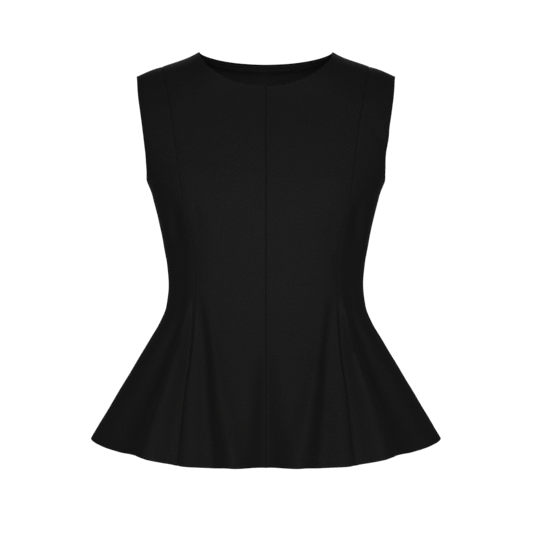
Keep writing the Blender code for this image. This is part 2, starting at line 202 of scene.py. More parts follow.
# Creases that the hang pulls into single panels. Each runs through three points of the front
# or back view, given as x and z. Its width follows, and how far it stands out, or in where the
# number is below zero.
CREASES = {
    "front_side_right": (
        (-0.1160, -0.202, -0.1190, -0.240, -0.1290, -0.296, 0.0060, -0.0022),
        (-0.1310, -0.198, -0.1300, -0.240, -0.1360, -0.284, 0.0055, 0.0022),
        (-0.1080, -0.304, -0.1180, -0.326, -0.1300, -0.350, 0.0070, -0.0018),
        (-0.1480, -0.110, -0.1520, -0.142, -0.1490, -0.176, 0.0090, -0.0010),
    ),
    "front_side_left": (
        (0.1170, -0.200, 0.1210, -0.238, 0.1300, -0.296, 0.0060, -0.0022),
        (0.1330, -0.205, 0.1320, -0.240, 0.1370, -0.282, 0.0050, 0.0024),
        (0.1120, -0.306, 0.1220, -0.332, 0.1350, -0.360, 0.0055, 0.0022),
        (0.1060, -0.318, 0.1160, -0.343, 0.1280, -0.368, 0.0065, -0.0020),
        (0.1400, -0.104, 0.1680, -0.130, 0.1600, -0.168, 0.0060, -0.0016),
        (0.1500, -0.098, 0.1790, -0.130, 0.1700, -0.160, 0.0050, 0.0010),
    ),
    "front_centre_right": (
        (-0.0990, -0.200, -0.0930, -0.232, -0.0860, -0.275, 0.0070, -0.0014),
        (-0.0560, -0.470, -0.0590, -0.520, -0.0600, -0.572, 0.0070, -0.0012),
        (-0.0200, -0.480, -0.0230, -0.530, -0.0230, -0.575, 0.0065, 0.0012),
    ),
    "front_centre_left": (
        (0.0970, -0.214, 0.0915, -0.245, 0.0840, -0.285, 0.0070, -0.0012),
        (0.0150, -0.430, 0.0180, -0.500, 0.0190, -0.575, 0.0060, -0.0010),
        (0.0460, -0.500, 0.0480, -0.540, 0.0480, -0.575, 0.0060, -0.0012),
    ),
    "back_centre": (
        (-0.080, -0.268, -0.030, -0.292, 0.012, -0.286, 0.0080, -0.0018),
        (-0.014, -0.302, 0.034, -0.314, 0.078, -0.296, 0.0085, -0.0020),
        (-0.078, -0.318, -0.036, -0.334, 0.000, -0.330, 0.0080, -0.0014),
        (0.086, -0.140, 0.070, -0.166, 0.060, -0.200, 0.0110, -0.0014),
        (-0.090, -0.136, -0.074, -0.160, -0.066, -0.196, 0.0110, -0.0014),
        (0.0150, -0.440, 0.0200, -0.505, 0.0240, -0.575, 0.0070, 0.0014),
        (-0.0480, -0.460, -0.0540, -0.515, -0.0580, -0.575, 0.0070, -0.0014),
    ),
    "back_side_left": (
        (0.1080, -0.200, 0.1060, -0.245, 0.1120, -0.300, 0.0080, -0.0030),
        (0.0980, -0.306, 0.1120, -0.326, 0.1280, -0.346, 0.0070, -0.0018),
        (0.1500, -0.198, 0.1360, -0.214, 0.1180, -0.222, 0.0080, -0.0016),
    ),
    "back_side_right": (
        (-0.1080, -0.196, -0.1060, -0.240, -0.1110, -0.296, 0.0080, -0.0030),
        (-0.0960, -0.312, -0.1100, -0.332, -0.1260, -0.352, 0.0070, -0.0016),
        (-0.1500, -0.194, -0.1340, -0.210, -0.1160, -0.226, 0.0080, -0.0016),
    ),
}

SLOPE_STEP = 1e-7
RIDGE_MARGIN = 1e-6
SIDE_MARGIN = math.radians(0.5)
HALVINGS = 50


def length_property(name, description, default):
    """A length that a user can change."""
    return FloatProperty(name=name, description=description, default=default, unit="LENGTH")


def colour_property(name, description, default):
    """A colour that a user can change."""
    return FloatVectorProperty(
        name=name, description=description, subtype="COLOR", size=3, min=0.0, max=1.0, default=default
    )


class TopSizes(PropertyGroup):
    """Sizes of the garment and its finish."""

    neck_half: length_property("Half neck", "Half the width of the neck", 0.093)
    front_drop: length_property(
        "Front drop", "How far the front neckline drops below the shoulders", 0.0556
    )
    back_drop: length_property(
        "Back drop", "How far the back neckline drops below the shoulders", 0.0122
    )
    cloth: length_property("Cloth", "Thickness of one layer of crepe", 0.0014)
    turned: length_property(
        "Turned cloth", "Thickness where the cloth is turned over at an edge", 0.0022
    )
    hem_turn: length_property("Hem", "Height of the turned hem", 0.0170)
    edge_turn: length_property(
        "Edge", "Width of the turned edge at the neck and the armholes", 0.0055
    )
    seam_roll: length_property(
        "Seam roll", "How deep the cloth rolls into a pressed seam", 0.0014
    )
    grid: length_property("Grid", "Spacing of the points of a panel", 0.0040)
    stitch_gap: length_property(
        "Stitch gap", "Distance between two blind stitches of the hem", 0.0070
    )


class TopColours(PropertyGroup):
    """Colours of the cloth, the thread and the studio; the facing's colour is the crepe made lighter
    with painted light.
    """

    crepe: colour_property("Crepe", "Colour of the crepe", (0.0200, 0.0195, 0.0192))
    # The facing is the same black crepe, but its colour is set about four times lighter as painted
    # light, for the light that falls inside the back of the neck.
    facing: colour_property(
        "Facing", "Colour of the facing inside the neck", (0.0850, 0.0830, 0.0815)
    )
    thread: colour_property("Thread", "Colour of the sewing thread", (0.0200, 0.0195, 0.0193))
    floor: colour_property(
        "Floor", "Colour of the studio floor and its backdrop", (0.93, 0.93, 0.93)
    )


# The form


class SmoothCurve:
    """A smooth line through one column of a table, which never swings past its rows."""

    def __init__(self, rows, columns, along, value):
        ordered = sorted(rows, key=lambda row: row[columns.index(along)])
        self.places = np.array([row[columns.index(along)] for row in ordered], float)
        self.values = np.array([row[columns.index(value)] for row in ordered], float)
        rises = np.diff(self.values) / np.diff(self.places)
        before, after = rises[:-1], rises[1:]
        steady = before * after > 0
        total = np.where(steady, before + after, 1.0)
        inner = np.where(steady, 2.0 * before * after / total, 0.0)
        self.slopes = np.concatenate(([rises[0]], inner, [rises[-1]]))

    def __call__(self, at):
        at = np.clip(at, self.places[0], self.places[-1])
        row = np.searchsorted(self.places, at, side="right") - 1
        row = np.clip(row, 0, len(self.places) - 2)
        span = self.places[row + 1] - self.places[row]
        part = (at - self.places[row]) / span
        rest = 1.0 - part
        start = self.values[row] * (1.0 + 2.0 * part) * rest**2
        end = self.values[row + 1] * (3.0 - 2.0 * part) * part**2
        leave = self.slopes[row] * span * part * rest**2
        arrive = self.slopes[row + 1] * span * part**2 * rest
        return start + end + leave - arrive


shoulder_height = SmoothCurve(SHOULDER, SHOULDER_COLUMNS, "x", "height")
half_width = SmoothCurve(LEVELS, LEVEL_COLUMNS, "height", "half_width")
ring_power = SmoothCurve(LEVELS, LEVEL_COLUMNS, "height", "power")
armhole_x = SmoothCurve(ARMHOLE, ARMHOLE_COLUMNS, "height", "x")


class Face:
    """The front or the back of the top, on the half at +X."""

    def __init__(self, name, sizes):
        self.name = name
        self.sign = -1.0 if name == "front" else 1.0
        self.neck_half = sizes.neck_half
        self.neck_drop = sizes.front_drop if name == "front" else sizes.back_drop
        self.neck_curve = NECK_CURVE[name]
        self.flutes = FLUTES[name]
        self.fullness = FULLNESS[name]
        self.reach = SmoothCurve(LEVELS, LEVEL_COLUMNS, "height", name)
        self.princess_x = SmoothCurve(PRINCESS, PRINCESS_COLUMNS, "height", name + "_x")
        self.hem_height = SmoothCurve(HEM, HEM_COLUMNS, "place", name + "_height")

    def top_height(self, x):
        """Height of the neckline at x, or of the shoulder seam past its end."""
        inside = np.clip(1.0 - (x / self.neck_half) ** 2, 0.0, 1.0)
        neckline = -self.neck_drop * inside**self.neck_curve
        return np.where(x < self.neck_half, neckline, shoulder_height(x))

    def angle_of_x(self, x, height):
        """Angle round the ring at which the form is x wide of the middle."""
        share = np.clip(x / half_width(height), 0.0, 1.0)
        return np.arcsin(share ** (ring_power(height) / 2.0))

    def side_angle(self, height):
        """Angle of the side panel's outer edge: the armhole's above the underarm."""
        on_armhole = self.angle_of_x(armhole_x(height), height)
        return np.where(height > UNDERARM, on_armhole, math.pi / 2.0)

    def angle_of_place(self, place, height):
        """Angle of a place: 0 is the middle, 1 the princess seam and 2 the outer edge."""
        seam_x = self.princess_x(height)
        centre = self.angle_of_x(np.minimum(place, 1.0) * seam_x, height)
        seam = self.angle_of_x(seam_x, height)
        past = np.maximum(place - 1.0, 0.0)
        return centre + past * (self.side_angle(height) - seam)

    def place_of_angle(self, angle, height):
        """The reverse of angle_of_place."""
        seam_x = self.princess_x(height)
        seam = self.angle_of_x(seam_x, height)
        x = half_width(height) * np.sin(np.minimum(angle, seam)) ** (2.0 / ring_power(height))
        past = np.maximum(angle - seam, 0.0) / (self.side_angle(height) - seam)
        return x / seam_x + past

    def push(self, angle, height):
        """How far the cloth stands out of its plain ring, over the bust and in the flutes."""
        place = self.place_of_angle(angle, height)
        push = np.zeros(np.broadcast(angle, height).shape)
        for middle, level, width, tall, out in self.fullness:
            across = (place - middle) / width
            up = (height - level) / tall
            push = push + out * np.exp(-(across**2) - up**2)
        down = np.clip((WAIST - height) / (WAIST - self.hem_height(place)), 0.0, 1.0)
        from_side = np.clip((2.0 - place) / SIDE_CALM, 0.0, 1.0)
        calm = from_side**2 * (3.0 - 2.0 * from_side)
        for start, waist_place, hem_place, hem_width, out in self.flutes:
            middle = waist_place + (hem_place - waist_place) * down
            width = hem_width * (FLUTE_WAIST_SHARE + (1.0 - FLUTE_WAIST_SHARE) * down)
            grown = np.clip((down - start) / (1.0 - start), 0.0, 1.0)
            size = out * calm * (1.0 - (1.0 - grown) ** FLUTE_GROWTH)
            push = push + size * np.exp(-(((place - middle) / width) ** 2))
        return push

    def point(self, angle, height):
        """A point of the outer side of the cloth."""
        power = 2.0 / ring_power(height)
        width = half_width(height)
        reach = self.reach(height)
        x = width * np.sin(angle) ** power
        depth = np.maximum(shoulder_height(x) - height, 0.0)
        left = np.clip(1.0 - depth / SHOULDER_ROUNDING, 0.0, 1.0)
        y = reach * np.cos(angle) ** power * np.sqrt(1.0 - left**2)
        across = np.sin(angle) * reach
        along = np.cos(angle) * width
        push = self.push(angle, height) / np.hypot(across, along)
        x = x + push * across
        y = y + push * along
        return np.stack(np.broadcast_arrays(x, self.sign * y, height), axis=-1)

    def normal(self, angle, height):
        """The outward direction of the cloth at a point."""
        angle = np.clip(angle, SLOPE_STEP, math.pi / 2.0 - SIDE_MARGIN)
        x = half_width(height) * np.sin(angle) ** (2.0 / ring_power(height))
        height = np.minimum(height, shoulder_height(x) - RIDGE_MARGIN)
        around = self.point(angle + SLOPE_STEP, height) - self.point(angle - SLOPE_STEP, height)
        down = self.point(angle, height - SLOPE_STEP) - self.point(angle, height + SLOPE_STEP)
        outward = np.cross(around, down) * self.sign
        return outward / np.linalg.norm(outward, axis=-1, keepdims=True)

    def top_of_place(self, place):
        """Height of a column's top, where it meets the neckline or the shoulder seam."""
        low = np.zeros(np.shape(place))
        high = np.full(np.shape(place), SHOULDER[-1][0])
        for _ in range(HALVINGS):
            x = (low + high) / 2.0
            height = self.top_height(x)
            column = self.angle_of_place(place, height)
            past = x > half_width(height) * np.sin(column) ** (2.0 / ring_power(height))
            high = np.where(past, x, high)
            low = np.where(past, low, x)
        return self.top_height((low + high) / 2.0)


# The points of a panel

# Distances from a seam or an edge at which a row or a column stands, in metres, before the
# even spacing begins.
EDGE_STEPS = (0.0, 0.00035, 0.0008, 0.0014, 0.0022, 0.0033, 0.0050, 0.0070)
HEM_STEPS = (0.0, 0.0006, 0.0014, 0.0028, 0.0050, 0.0080, 0.0115, 0.0145, 0.0165, 0.0175, 0.0195)
NECK_END_STEPS = (0.0002, 0.0006, 0.0012, 0.0021, 0.0034)
CENTRE_NOMINAL = 0.108
SIDE_NOMINAL = 0.110
UPPER_LENGTH = 0.200
PEPLUM_LENGTH = 0.225
PEPLUM_SLANT = 1.18
FINE_STEPS = 400


def even(start, end, step):
    """Even places from just past start up to end."""
    count = max(1, round(abs(end - start) / step))
    return np.linspace(start, end, count + 1)[1:]


def panel_places(first_place, nominal, step, extra=()):
    """Places of a panel's columns, close together at both of its sides."""
    edges = np.array(EDGE_STEPS)
    middle = even(edges[-1], nominal - edges[-1], step)
    distances = np.concatenate((edges, middle[:-1], (nominal - edges)[::-1]))
    places = first_place + distances / nominal
    return np.unique(np.round(np.concatenate((places, extra)), 9))


def column_heights(face, places, step):
    """Heights of the points of each column, spaced by the length of cloth between them."""
    top = face.top_of_place(places)
    hem = face.hem_height(places)
    fine = np.linspace(0.0, 1.0, FINE_STEPS)[:, None] ** 2
    heights = top + fine * (UNDERARM - top)
    points = face.point(face.angle_of_place(places, heights), heights)
    pieces = np.linalg.norm(np.diff(points, axis=0), axis=-1)
    lengths = np.concatenate((np.zeros((1, len(places))), np.cumsum(pieces, axis=0)))
    edges = np.array(EDGE_STEPS)
    shares = np.concatenate(([0.0], even(0.0, 1.0, step / UPPER_LENGTH)))[1:]
    upper = np.empty((len(edges) + len(shares), len(places)))
    for column in range(len(places)):
        whole = lengths[-1, column]
        wanted = np.concatenate((edges, edges[-1] + shares * (whole - edges[-1])))
        upper[:, column] = np.interp(wanted, lengths[:, column], heights[:, column])
    upper[0] = top
    upper[-1] = UNDERARM
    bodice = np.repeat(even(UNDERARM, WAIST, step)[:, None], len(places), axis=1)
    long = (WAIST - hem) * PEPLUM_SLANT
    band = HEM_STEPS[-1] / long
    down = even(0.0, 1.0, step / PEPLUM_LENGTH)[:, None] * (1.0 - band)
    last = 1.0 - np.array(HEM_STEPS[:-1])[::-1, None] / long
    peplum = WAIST + np.concatenate((down, last)) * (hem - WAIST)
    return np.concatenate((upper, bodice, peplum))


def lengths_along(points, axis):
    """Length of cloth from the first row or column to each point."""
    pieces = np.linalg.norm(np.diff(points, axis=axis), axis=-1)
    start = np.zeros_like(np.take(pieces, [0], axis=axis))
    return np.concatenate((start, np.cumsum(pieces, axis=axis)), axis=axis)


def rise(value, start, end):
    """0 below start, 1 above end, and smooth between them."""
    part = np.clip((value - start) / (end - start), 0.0, 1.0)
    return part * part * (3.0 - 2.0 * part)


# The share of a rolled seam's depth that fades out softly, and how many depths it reaches.
ROLL_SOFT_SHARE = 0.22
ROLL_SOFT_REACH = 4.0


def roll(distance, depth):
    """How deep the cloth dips as it rolls over into a pressed seam."""
    near = np.clip(1.0 - distance / depth, 0.0, 1.0)
    soft = ROLL_SOFT_SHARE * np.exp(-((distance / (ROLL_SOFT_REACH * depth)) ** 2))
    return depth * ((1.0 - ROLL_SOFT_SHARE) * (1.0 - np.sqrt(1.0 - near**2)) + soft)


CREASE_SAMPLES = 41
CREASE_END = 0.04
CREASE_FADE = 0.8


def crease(points, row):
    """How far one crease moves each point, along a bent line and fading at its ends."""
    x1, z1, x2, z2, x3, z3, width, out = row
    best = np.full(points.shape[:2], np.inf)
    fade = np.zeros(points.shape[:2])
    for step in np.linspace(0.0, 1.0, CREASE_SAMPLES):
        rest = 1.0 - step
        x = rest * rest * x1 + 2.0 * rest * step * x2 + step * step * x3
        z = rest * rest * z1 + 2.0 * rest * step * z2 + step * step * z3
        away = np.hypot(points[..., 0] - x, points[..., 2] - z)
        nearer = away < best
        best = np.where(nearer, away, best)
        inside = min(max(step, CREASE_END), 1.0 - CREASE_END)
        fade = np.where(nearer, math.sin(math.pi * inside) ** CREASE_FADE, fade)
    return out * fade * np.exp(-((best / width) ** 2))


# Numbers of waves along x, y and z in one span of cloth, and how high they stand.
WAVES = ((23.0, 9.0, 17.0), (-14.0, 21.0, 31.0), (37.0, -19.0, 11.0), (9.0, 29.0, -41.0))
WAVE_SPAN = 1.6
WAVE_HEIGHT = 0.00006
WAVE_PHASES = (1.7, 2.1)


def unevenness(points, seed):
    """The slight waviness of cloth that has been handled."""
    x, y, z = (points[..., axis] for axis in range(3))
    total = np.zeros(x.shape)
    for number, (a, b, c) in enumerate(WAVES):
        phase = seed * WAVE_PHASES[0] + number * WAVE_PHASES[1]
        total += np.sin(math.tau * (a * x + b * y + c * z) / WAVE_SPAN + phase)
    return total * WAVE_HEIGHT


class PanelGrid:
    """The points, directions and measures of one panel, seam allowances left out."""

    def __init__(self, face, places, step):
        heights = column_heights(face, places, step)
        grid = np.repeat(places[None, :], len(heights), axis=0)
        angles = face.angle_of_place(grid, heights)
        self.points = face.point(angles, heights)
        self.normals = face.normal(angles, heights)
        if places[0] == 0.0:
            # The middle column looks straight ahead, so that both halves meet on it.
            self.normals[:, 0, 0] = 0.0
            self.normals[:, 0] /= np.linalg.norm(self.normals[:, 0], axis=-1, keepdims=True)
        self.places = places
        self.heights = heights
        self.across = lengths_along(self.points, 1)
        self.down = lengths_along(self.points, 0)
        self.from_last = self.across[:, -1:] - self.across
        self.from_hem = self.down[-1:] - self.down
        self.peplum = rise(WAIST - heights, -0.01, 0.12)

    def mirrored(self):
        """The same panel on the other side, its columns still running towards +X."""
        other = object.__new__(PanelGrid)
        flip = np.array((-1.0, 1.0, 1.0))
        other.points = (self.points * flip)[:, ::-1]
        other.normals = (self.normals * flip)[:, ::-1]
        other.places = self.places[::-1]
        for name in ("heights", "down", "from_hem", "peplum"):
            setattr(other, name, getattr(self, name)[:, ::-1])
        other.across = self.from_last[:, ::-1]
        other.from_last = self.across[:, ::-1]
        return other


SHARP_EDGE = math.radians(65.0)


def wall(name, outer, inner, normals, uv, free_edges):
    """Join an outer and an inner grid into one closed sheet of cloth.

    free_edges is true at the border points whose edge is turned, and so stands round."""
    rows, columns = outer.shape[:2]
    count = rows * columns
    verts = np.concatenate((outer.reshape(-1, 3), inner.reshape(-1, 3)))
    index = np.arange(count).reshape(rows, columns)
    quads = np.stack(
        (index[:-1, :-1], index[:-1, 1:], index[1:, 1:], index[1:, :-1]), axis=-1
    ).reshape(-1, 4)
    faces = [quads, quads[:, ::-1] + count]
    border = [(0, c) for c in range(columns)]
    border += [(r, columns - 1) for r in range(1, rows)]
    border += [(rows - 1, c) for c in range(columns - 2, -1, -1)]
    border += [(r, 0) for r in range(rows - 2, 0, -1)]
    at = tuple(np.array(border).T)
    outside, inside = outer[at], inner[at]
    neighbour = (np.clip(at[0], 1, rows - 2), np.clip(at[1], 1, columns - 2))
    away = outside - outer[neighbour]
    up = normals[at]
    away -= up * np.sum(away * up, axis=-1, keepdims=True)
    away /= np.maximum(np.linalg.norm(away, axis=-1, keepdims=True), 1e-9)
    half = np.linalg.norm(outside - inside, axis=-1, keepdims=True) / 2.0
    bulge = away * half * free_edges[at][:, None]
    rings = [index[at]]
    extra = []
    start = len(verts)
    turns = (math.pi / 4.0, math.pi / 2.0, 3.0 * math.pi / 4.0)
    for turn in turns:
        share = (1.0 - math.cos(turn)) / 2.0
        extra.append(outside + (inside - outside) * share + bulge * math.sin(turn))
        rings.append(np.arange(start, start + len(border)))
        start += len(border)
    rings.append(index[at] + count)
    verts = np.concatenate([verts] + extra)
    for first, second in zip(rings, rings[1:]):
        following, beyond = np.roll(first, -1), np.roll(second, -1)
        faces.append(np.stack((first, second, beyond, following), axis=-1))
    mesh = bpy.data.meshes.new(name)
    mesh.from_pydata(verts.tolist(), [], np.concatenate(faces).tolist())
    flat = uv.reshape(-1, 2)
    along_border = flat[index[at].ravel()]
    values = np.concatenate([flat, flat] + [along_border] * len(turns))
    layer = mesh.uv_layers.new(name="cloth")
    loops = np.empty(len(mesh.loops), dtype=np.int32)
    mesh.loops.foreach_get("vertex_index", loops)
    layer.data.foreach_set("uv", values[loops].ravel())
    mesh.calc_loop_triangles()
    corners = verts[np.array([t.vertices[:] for t in mesh.loop_triangles])]
    volume = np.sum(corners[:, 0] * np.cross(corners[:, 1], corners[:, 2]))
    if volume < 0.0:
        mesh.flip_normals()
    mesh.shade_smooth()
    mesh.set_sharp_from_angle(angle=SHARP_EDGE)
    return mesh


def add_object(name, data):
    """Put a mesh, a light or a camera in the scene."""
    thing = bpy.data.objects.new(name, data)
    bpy.context.scene.collection.objects.link(thing)
    return thing


def finish_piece(name, mesh, material):
    """Link a mesh as a finished piece of the object that rides on its body."""
    piece = add_object(name, mesh)
    mesh.materials.append(material)
    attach(piece, "root")
    return piece


# The outer points of each panel along the upper edge of its hem, for the stitches.
HEM_LINES = {}
HEM_LINE_ROW = -1 - HEM_STEPS.index(0.0165)
HEM_LINE_MARGIN = 0.004

# The faint line of the hem's upper edge, and the pulls at its stitches.
HEM_LINE_WIDTH = 0.0016
HEM_LINE_DEPTH = 0.00010
HEM_PULL_DEPTH = 0.00022
HEM_PULL_GAP = 0.021

# Where the cloth gets thicker before the turned edge, and where it is fully thick.
TURN_FADE = (-0.0005, 0.0008)


def panel_mesh(grid, sizes, seams, node):
    """Give a panel its rolled seams, creases, turned edges and hem.

    seams says how far the first, last and top edges are sewn, and where a side is free."""
    points, normals = grid.points, grid.normals
    offset = unevenness(points, len(node))
    for row in CREASES[node]:
        offset = offset + crease(points, row)
    depth = sizes.seam_roll
    sewn_top = seams["top"]
    offset = offset - roll(grid.across, depth) * seams["first"]
    offset = offset - roll(grid.from_last, depth) * seams["last"]
    offset = offset - roll(grid.down, depth) * sewn_top[None, :]
    offset = offset + seams["ridge"]
    line = np.exp(-(((grid.from_hem - sizes.hem_turn) / HEM_LINE_WIDTH) ** 2))
    pulls = 0.5 + 0.5 * np.sin(grid.across * math.tau / HEM_PULL_GAP + len(node) * 0.9)
    offset = offset - line * (HEM_LINE_DEPTH + HEM_PULL_DEPTH * pulls)
    outer = points + normals * offset[..., None]
    inside = (grid.across > HEM_LINE_MARGIN) & (grid.from_last > HEM_LINE_MARGIN)
    HEM_LINES[node] = outer[HEM_LINE_ROW][inside[HEM_LINE_ROW]]
    extra = sizes.turned - sizes.cloth
    turned = rise(sizes.hem_turn - grid.from_hem, *TURN_FADE)
    free_top = 1.0 - sewn_top[None, :]
    turned = np.maximum(turned, free_top * rise(sizes.edge_turn - grid.down, *TURN_FADE))
    for side, distance in (("first_free", grid.across), ("last_free", grid.from_last)):
        if side in seams:
            part = rise(sizes.edge_turn - distance, *TURN_FADE) * seams[side]
            turned = np.maximum(turned, part)
    inner = outer - normals * (sizes.cloth + extra * turned)[..., None]
    free = np.zeros(points.shape[:2])
    free[0] = 1.0 - sewn_top
    free[-1] = 1.0
    for side, column in (("first_free", 0), ("last_free", -1)):
        if side in seams:
            free[:, column] = np.maximum(free[:, column], seams[side][:, 0])
    uv = np.stack((grid.across, -grid.down), axis=-1)
    return wall(node + "_cloth", outer, inner, normals, uv, free)


def declare_cloth(node):
    """Hide the imported frame's part for the node that a panel stands for."""
    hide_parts(node)


# Materials


def new_material(name):
    """The named material, and whether it is new and still plain."""
    material = bpy.data.materials.get(name)
    new = material is None
    if new:
        material = bpy.data.materials.new(name)
        material.use_nodes = True
    return material, new


def add_node(tree, kind, values=()):
    """Add a node to a tree and set its inputs by name."""
    node = tree.nodes.new(kind)
    for name, value in dict(values).items():
        node.inputs[name].default_value = value
    return node


def join(tree, source, output, target, entry):
    """Link an output of one node to an input of another."""
    tree.links.new(source.outputs[output], target.inputs[entry])


def add_tones(tree, factor, low, high, stops=(0.0, 1.0)):
    """Colour the surface from one tone to another by a factor."""
    ramp = add_node(tree, "ShaderNodeValToRGB")
    for stop, position, colour in zip(ramp.color_ramp.elements, stops, (low, high)):
        stop.position = position
        stop.color = (*colour, 1.0)
    tree.links.new(factor, ramp.inputs["Fac"])
    tree.links.new(ramp.outputs["Color"], tree.nodes["Principled BSDF"].inputs["Base Color"])


def shades(colour, *amounts):
    """A colour made darker or lighter by each amount."""
    return [tuple(channel * amount for channel in colour) for amount in amounts]


def crepe_material(name, colour, pebble=1.0):
    """Matte crepe: a pebbled surface, fine mottled colour and a soft bloom at its edges."""
    material, new = new_material(name)
    if not new:
        return material
    tree = material.node_tree
    shader = tree.nodes["Principled BSDF"]
    shader.inputs["Specular IOR Level"].default_value = 0.12
    shader.inputs["Sheen Weight"].default_value = 0.03
    shader.inputs["Sheen Roughness"].default_value = 0.45
    shader.inputs["Sheen Tint"].default_value = (0.80, 0.80, 0.82, 1.0)
    coordinates = add_node(tree, "ShaderNodeTexCoord")
    grain = add_node(tree, "ShaderNodeTexNoise", {"Scale": 620.0, "Detail": 3.0, "Roughness": 0.6})
    join(tree, coordinates, "UV", grain, "Vector")
    stretch = add_node(tree, "ShaderNodeMapping", {"Scale": (1.0, 0.55, 1.0)})
    join(tree, coordinates, "UV", stretch, "Vector")
    pebbles = add_node(tree, "ShaderNodeTexVoronoi", {"Scale": 1500.0, "Randomness": 0.9})
    join(tree, stretch, "Vector", pebbles, "Vector")
    mottle = add_node(tree, "ShaderNodeTexNoise", {"Scale": 38.0, "Detail": 2.0})
    join(tree, coordinates, "Object", mottle, "Vector")
    shade = add_node(tree, "ShaderNodeMath")
    shade.operation = "MULTIPLY_ADD"
    shade.inputs[1].default_value = 0.06
    join(tree, mottle, "Fac", shade, 0)
    join(tree, grain, "Fac", shade, 2)
    low, high = shades(colour, 0.50, 1.50)
    add_tones(tree, shade.outputs["Value"], low, high, (0.36, 0.74))
    rough = add_node(tree, "ShaderNodeMapRange", {"To Min": 0.58, "To Max": 0.74})
    join(tree, grain, "Fac", rough, "Value")
    join(tree, rough, "Result", shader, "Roughness")
    bump = add_node(tree, "ShaderNodeBump", {"Strength": 0.35 * pebble, "Distance": 0.00018})
    join(tree, pebbles, "Distance", bump, "Height")
    weave = add_node(tree, "ShaderNodeBump", {"Strength": 0.30 * pebble, "Distance": 0.00020})
    join(tree, grain, "Fac", weave, "Height")
    join(tree, bump, "Normal", weave, "Normal")
    join(tree, weave, "Normal", shader, "Normal")
    return material


def thread_material(colour):
    """Twisted sewing thread."""
    material, new = new_material("thread")
    if not new:
        return material
    tree = material.node_tree
    tree.nodes["Principled BSDF"].inputs["Roughness"].default_value = 0.6
    coordinates = add_node(tree, "ShaderNodeTexCoord")
    twist = add_node(tree, "ShaderNodeTexWave", {"Scale": 900.0})
    join(tree, coordinates, "Object", twist, "Vector")
    add_tones(tree, twist.outputs["Fac"], *shades(colour, 0.7, 1.3))
    return material


def plaster_material(colour):
    """The smooth painted cove of the studio."""
    material, new = new_material("studio_paint")
    if not new:
        return material
    tree = material.node_tree
    shader = tree.nodes["Principled BSDF"]
    shader.inputs["Roughness"].default_value = 0.9
    shader.inputs["Emission Color"].default_value = (1.0, 1.0, 1.0, 1.0)
    shader.inputs["Emission Strength"].default_value = 1.0
    coordinates = add_node(tree, "ShaderNodeTexCoord")
    clouds = add_node(tree, "ShaderNodeTexNoise", {"Scale": 0.7})
    join(tree, coordinates, "Object", clouds, "Vector")
    add_tones(tree, clouds.outputs["Fac"], *shades(colour, 0.99, 1.0))
    return material


# Operators


def face_and_sizes(context, name):
    """The front or the back, and the sizes that a user has set."""
    sizes = context.scene.top_sizes
    return Face(name, sizes), sizes


def make_panel(context, grid, sizes, seams, node):
    """Make one panel of crepe from its grid."""
    mesh = panel_mesh(grid, sizes, seams, node)
    material = crepe_material("black_crepe", tuple(context.scene.top_colours.crepe))
    piece = finish_piece(node + "_cloth", mesh, material)
    declare_cloth(node)


def centre_places(face, sizes):
    """Places of a centre panel's columns, close together where the neckline ends."""
    neck_end = sizes.neck_half / float(face.princess_x(0.0))
    close = [neck_end - step / CENTRE_NOMINAL for step in NECK_END_STEPS]
    after = [neck_end + step / CENTRE_NOMINAL for step in NECK_END_STEPS[::2]]
    return panel_places(0.0, CENTRE_NOMINAL, sizes.grid, (neck_end, *close, *after)), neck_end


# The pressed princess seam below the waist: a raised edge beside it on the centre panel, and a
# hollow along it on the side panel.
RIDGE_OUT = 0.0012
RIDGE_PLACE = 0.0028
RIDGE_WIDTH = 0.0021
HOLLOW_IN = 0.0017
HOLLOW_WIDTH = 0.0045
CENTRE_SEAM_ROLL = 0.9


def princess_ridge(grid, distance):
    """The raised, pressed edge of the centre panel below the waist."""
    return RIDGE_OUT * grid.peplum * np.exp(-(((distance - RIDGE_PLACE) / RIDGE_WIDTH) ** 2))


class TOP_OT_front_centre(Operator):
    """Make the two front centre panels"""

    bl_idname = "top.front_centre"
    bl_label = "Front centre"

    def execute(self, context):
        face, sizes = face_and_sizes(context, "front")
        places, neck_end = centre_places(face, sizes)
        right_half = PanelGrid(face, places, sizes.grid)
        for node, grid in (
            ("front_centre_left", right_half),
            ("front_centre_right", right_half.mirrored()),
        ):
            on_left = node.endswith("left")
            sewn_top = (grid.places >= neck_end - SLOPE_STEP).astype(float)
            princess = grid.from_last if on_left else grid.across
            seams = {
                "first": CENTRE_SEAM_ROLL if on_left else 1.0,
                "last": 1.0 if on_left else CENTRE_SEAM_ROLL,
                "top": sewn_top,
                "ridge": princess_ridge(grid, princess),
            }
            make_panel(context, grid, sizes, seams, node)
        return {"FINISHED"}


def make_sides(context, name):
    """Make both side panels of the front or the back."""
    face, sizes = face_and_sizes(context, name)
    places = panel_places(1.0, SIDE_NOMINAL, sizes.grid)
    base = PanelGrid(face, places, sizes.grid)
    for node, grid in ((name + "_side_left", base), (name + "_side_right", base.mirrored())):
        on_left = node.endswith("left")
        below = (grid.heights[:, :1] <= UNDERARM + 1e-9).astype(float)
        princess = grid.across if on_left else grid.from_last
        hollow = -HOLLOW_IN * grid.peplum * np.exp(-((princess / HOLLOW_WIDTH) ** 2))
        outer_key, inner_key = ("last", "first") if on_left else ("first", "last")
        seams = {
            inner_key: 1.0,
            outer_key: below,
            outer_key + "_free": 1.0 - below,
            "top": np.ones(grid.points.shape[1]),
            "ridge": hollow,
        }
        make_panel(context, grid, sizes, seams, node)


class TOP_OT_front_sides(Operator):
    """Make the two front side panels"""

    bl_idname = "top.front_sides"
    bl_label = "Front sides"

    def execute(self, context):
        make_sides(context, "front")
        return {"FINISHED"}


class TOP_OT_back_sides(Operator):
    """Make the two back side panels"""

    bl_idname = "top.back_sides"
    bl_label = "Back sides"

    def execute(self, context):
        make_sides(context, "back")
        return {"FINISHED"}


# The back has no centre seam, so its columns stay wide apart up to this distance from it.
BACK_MIDDLE = 0.0035


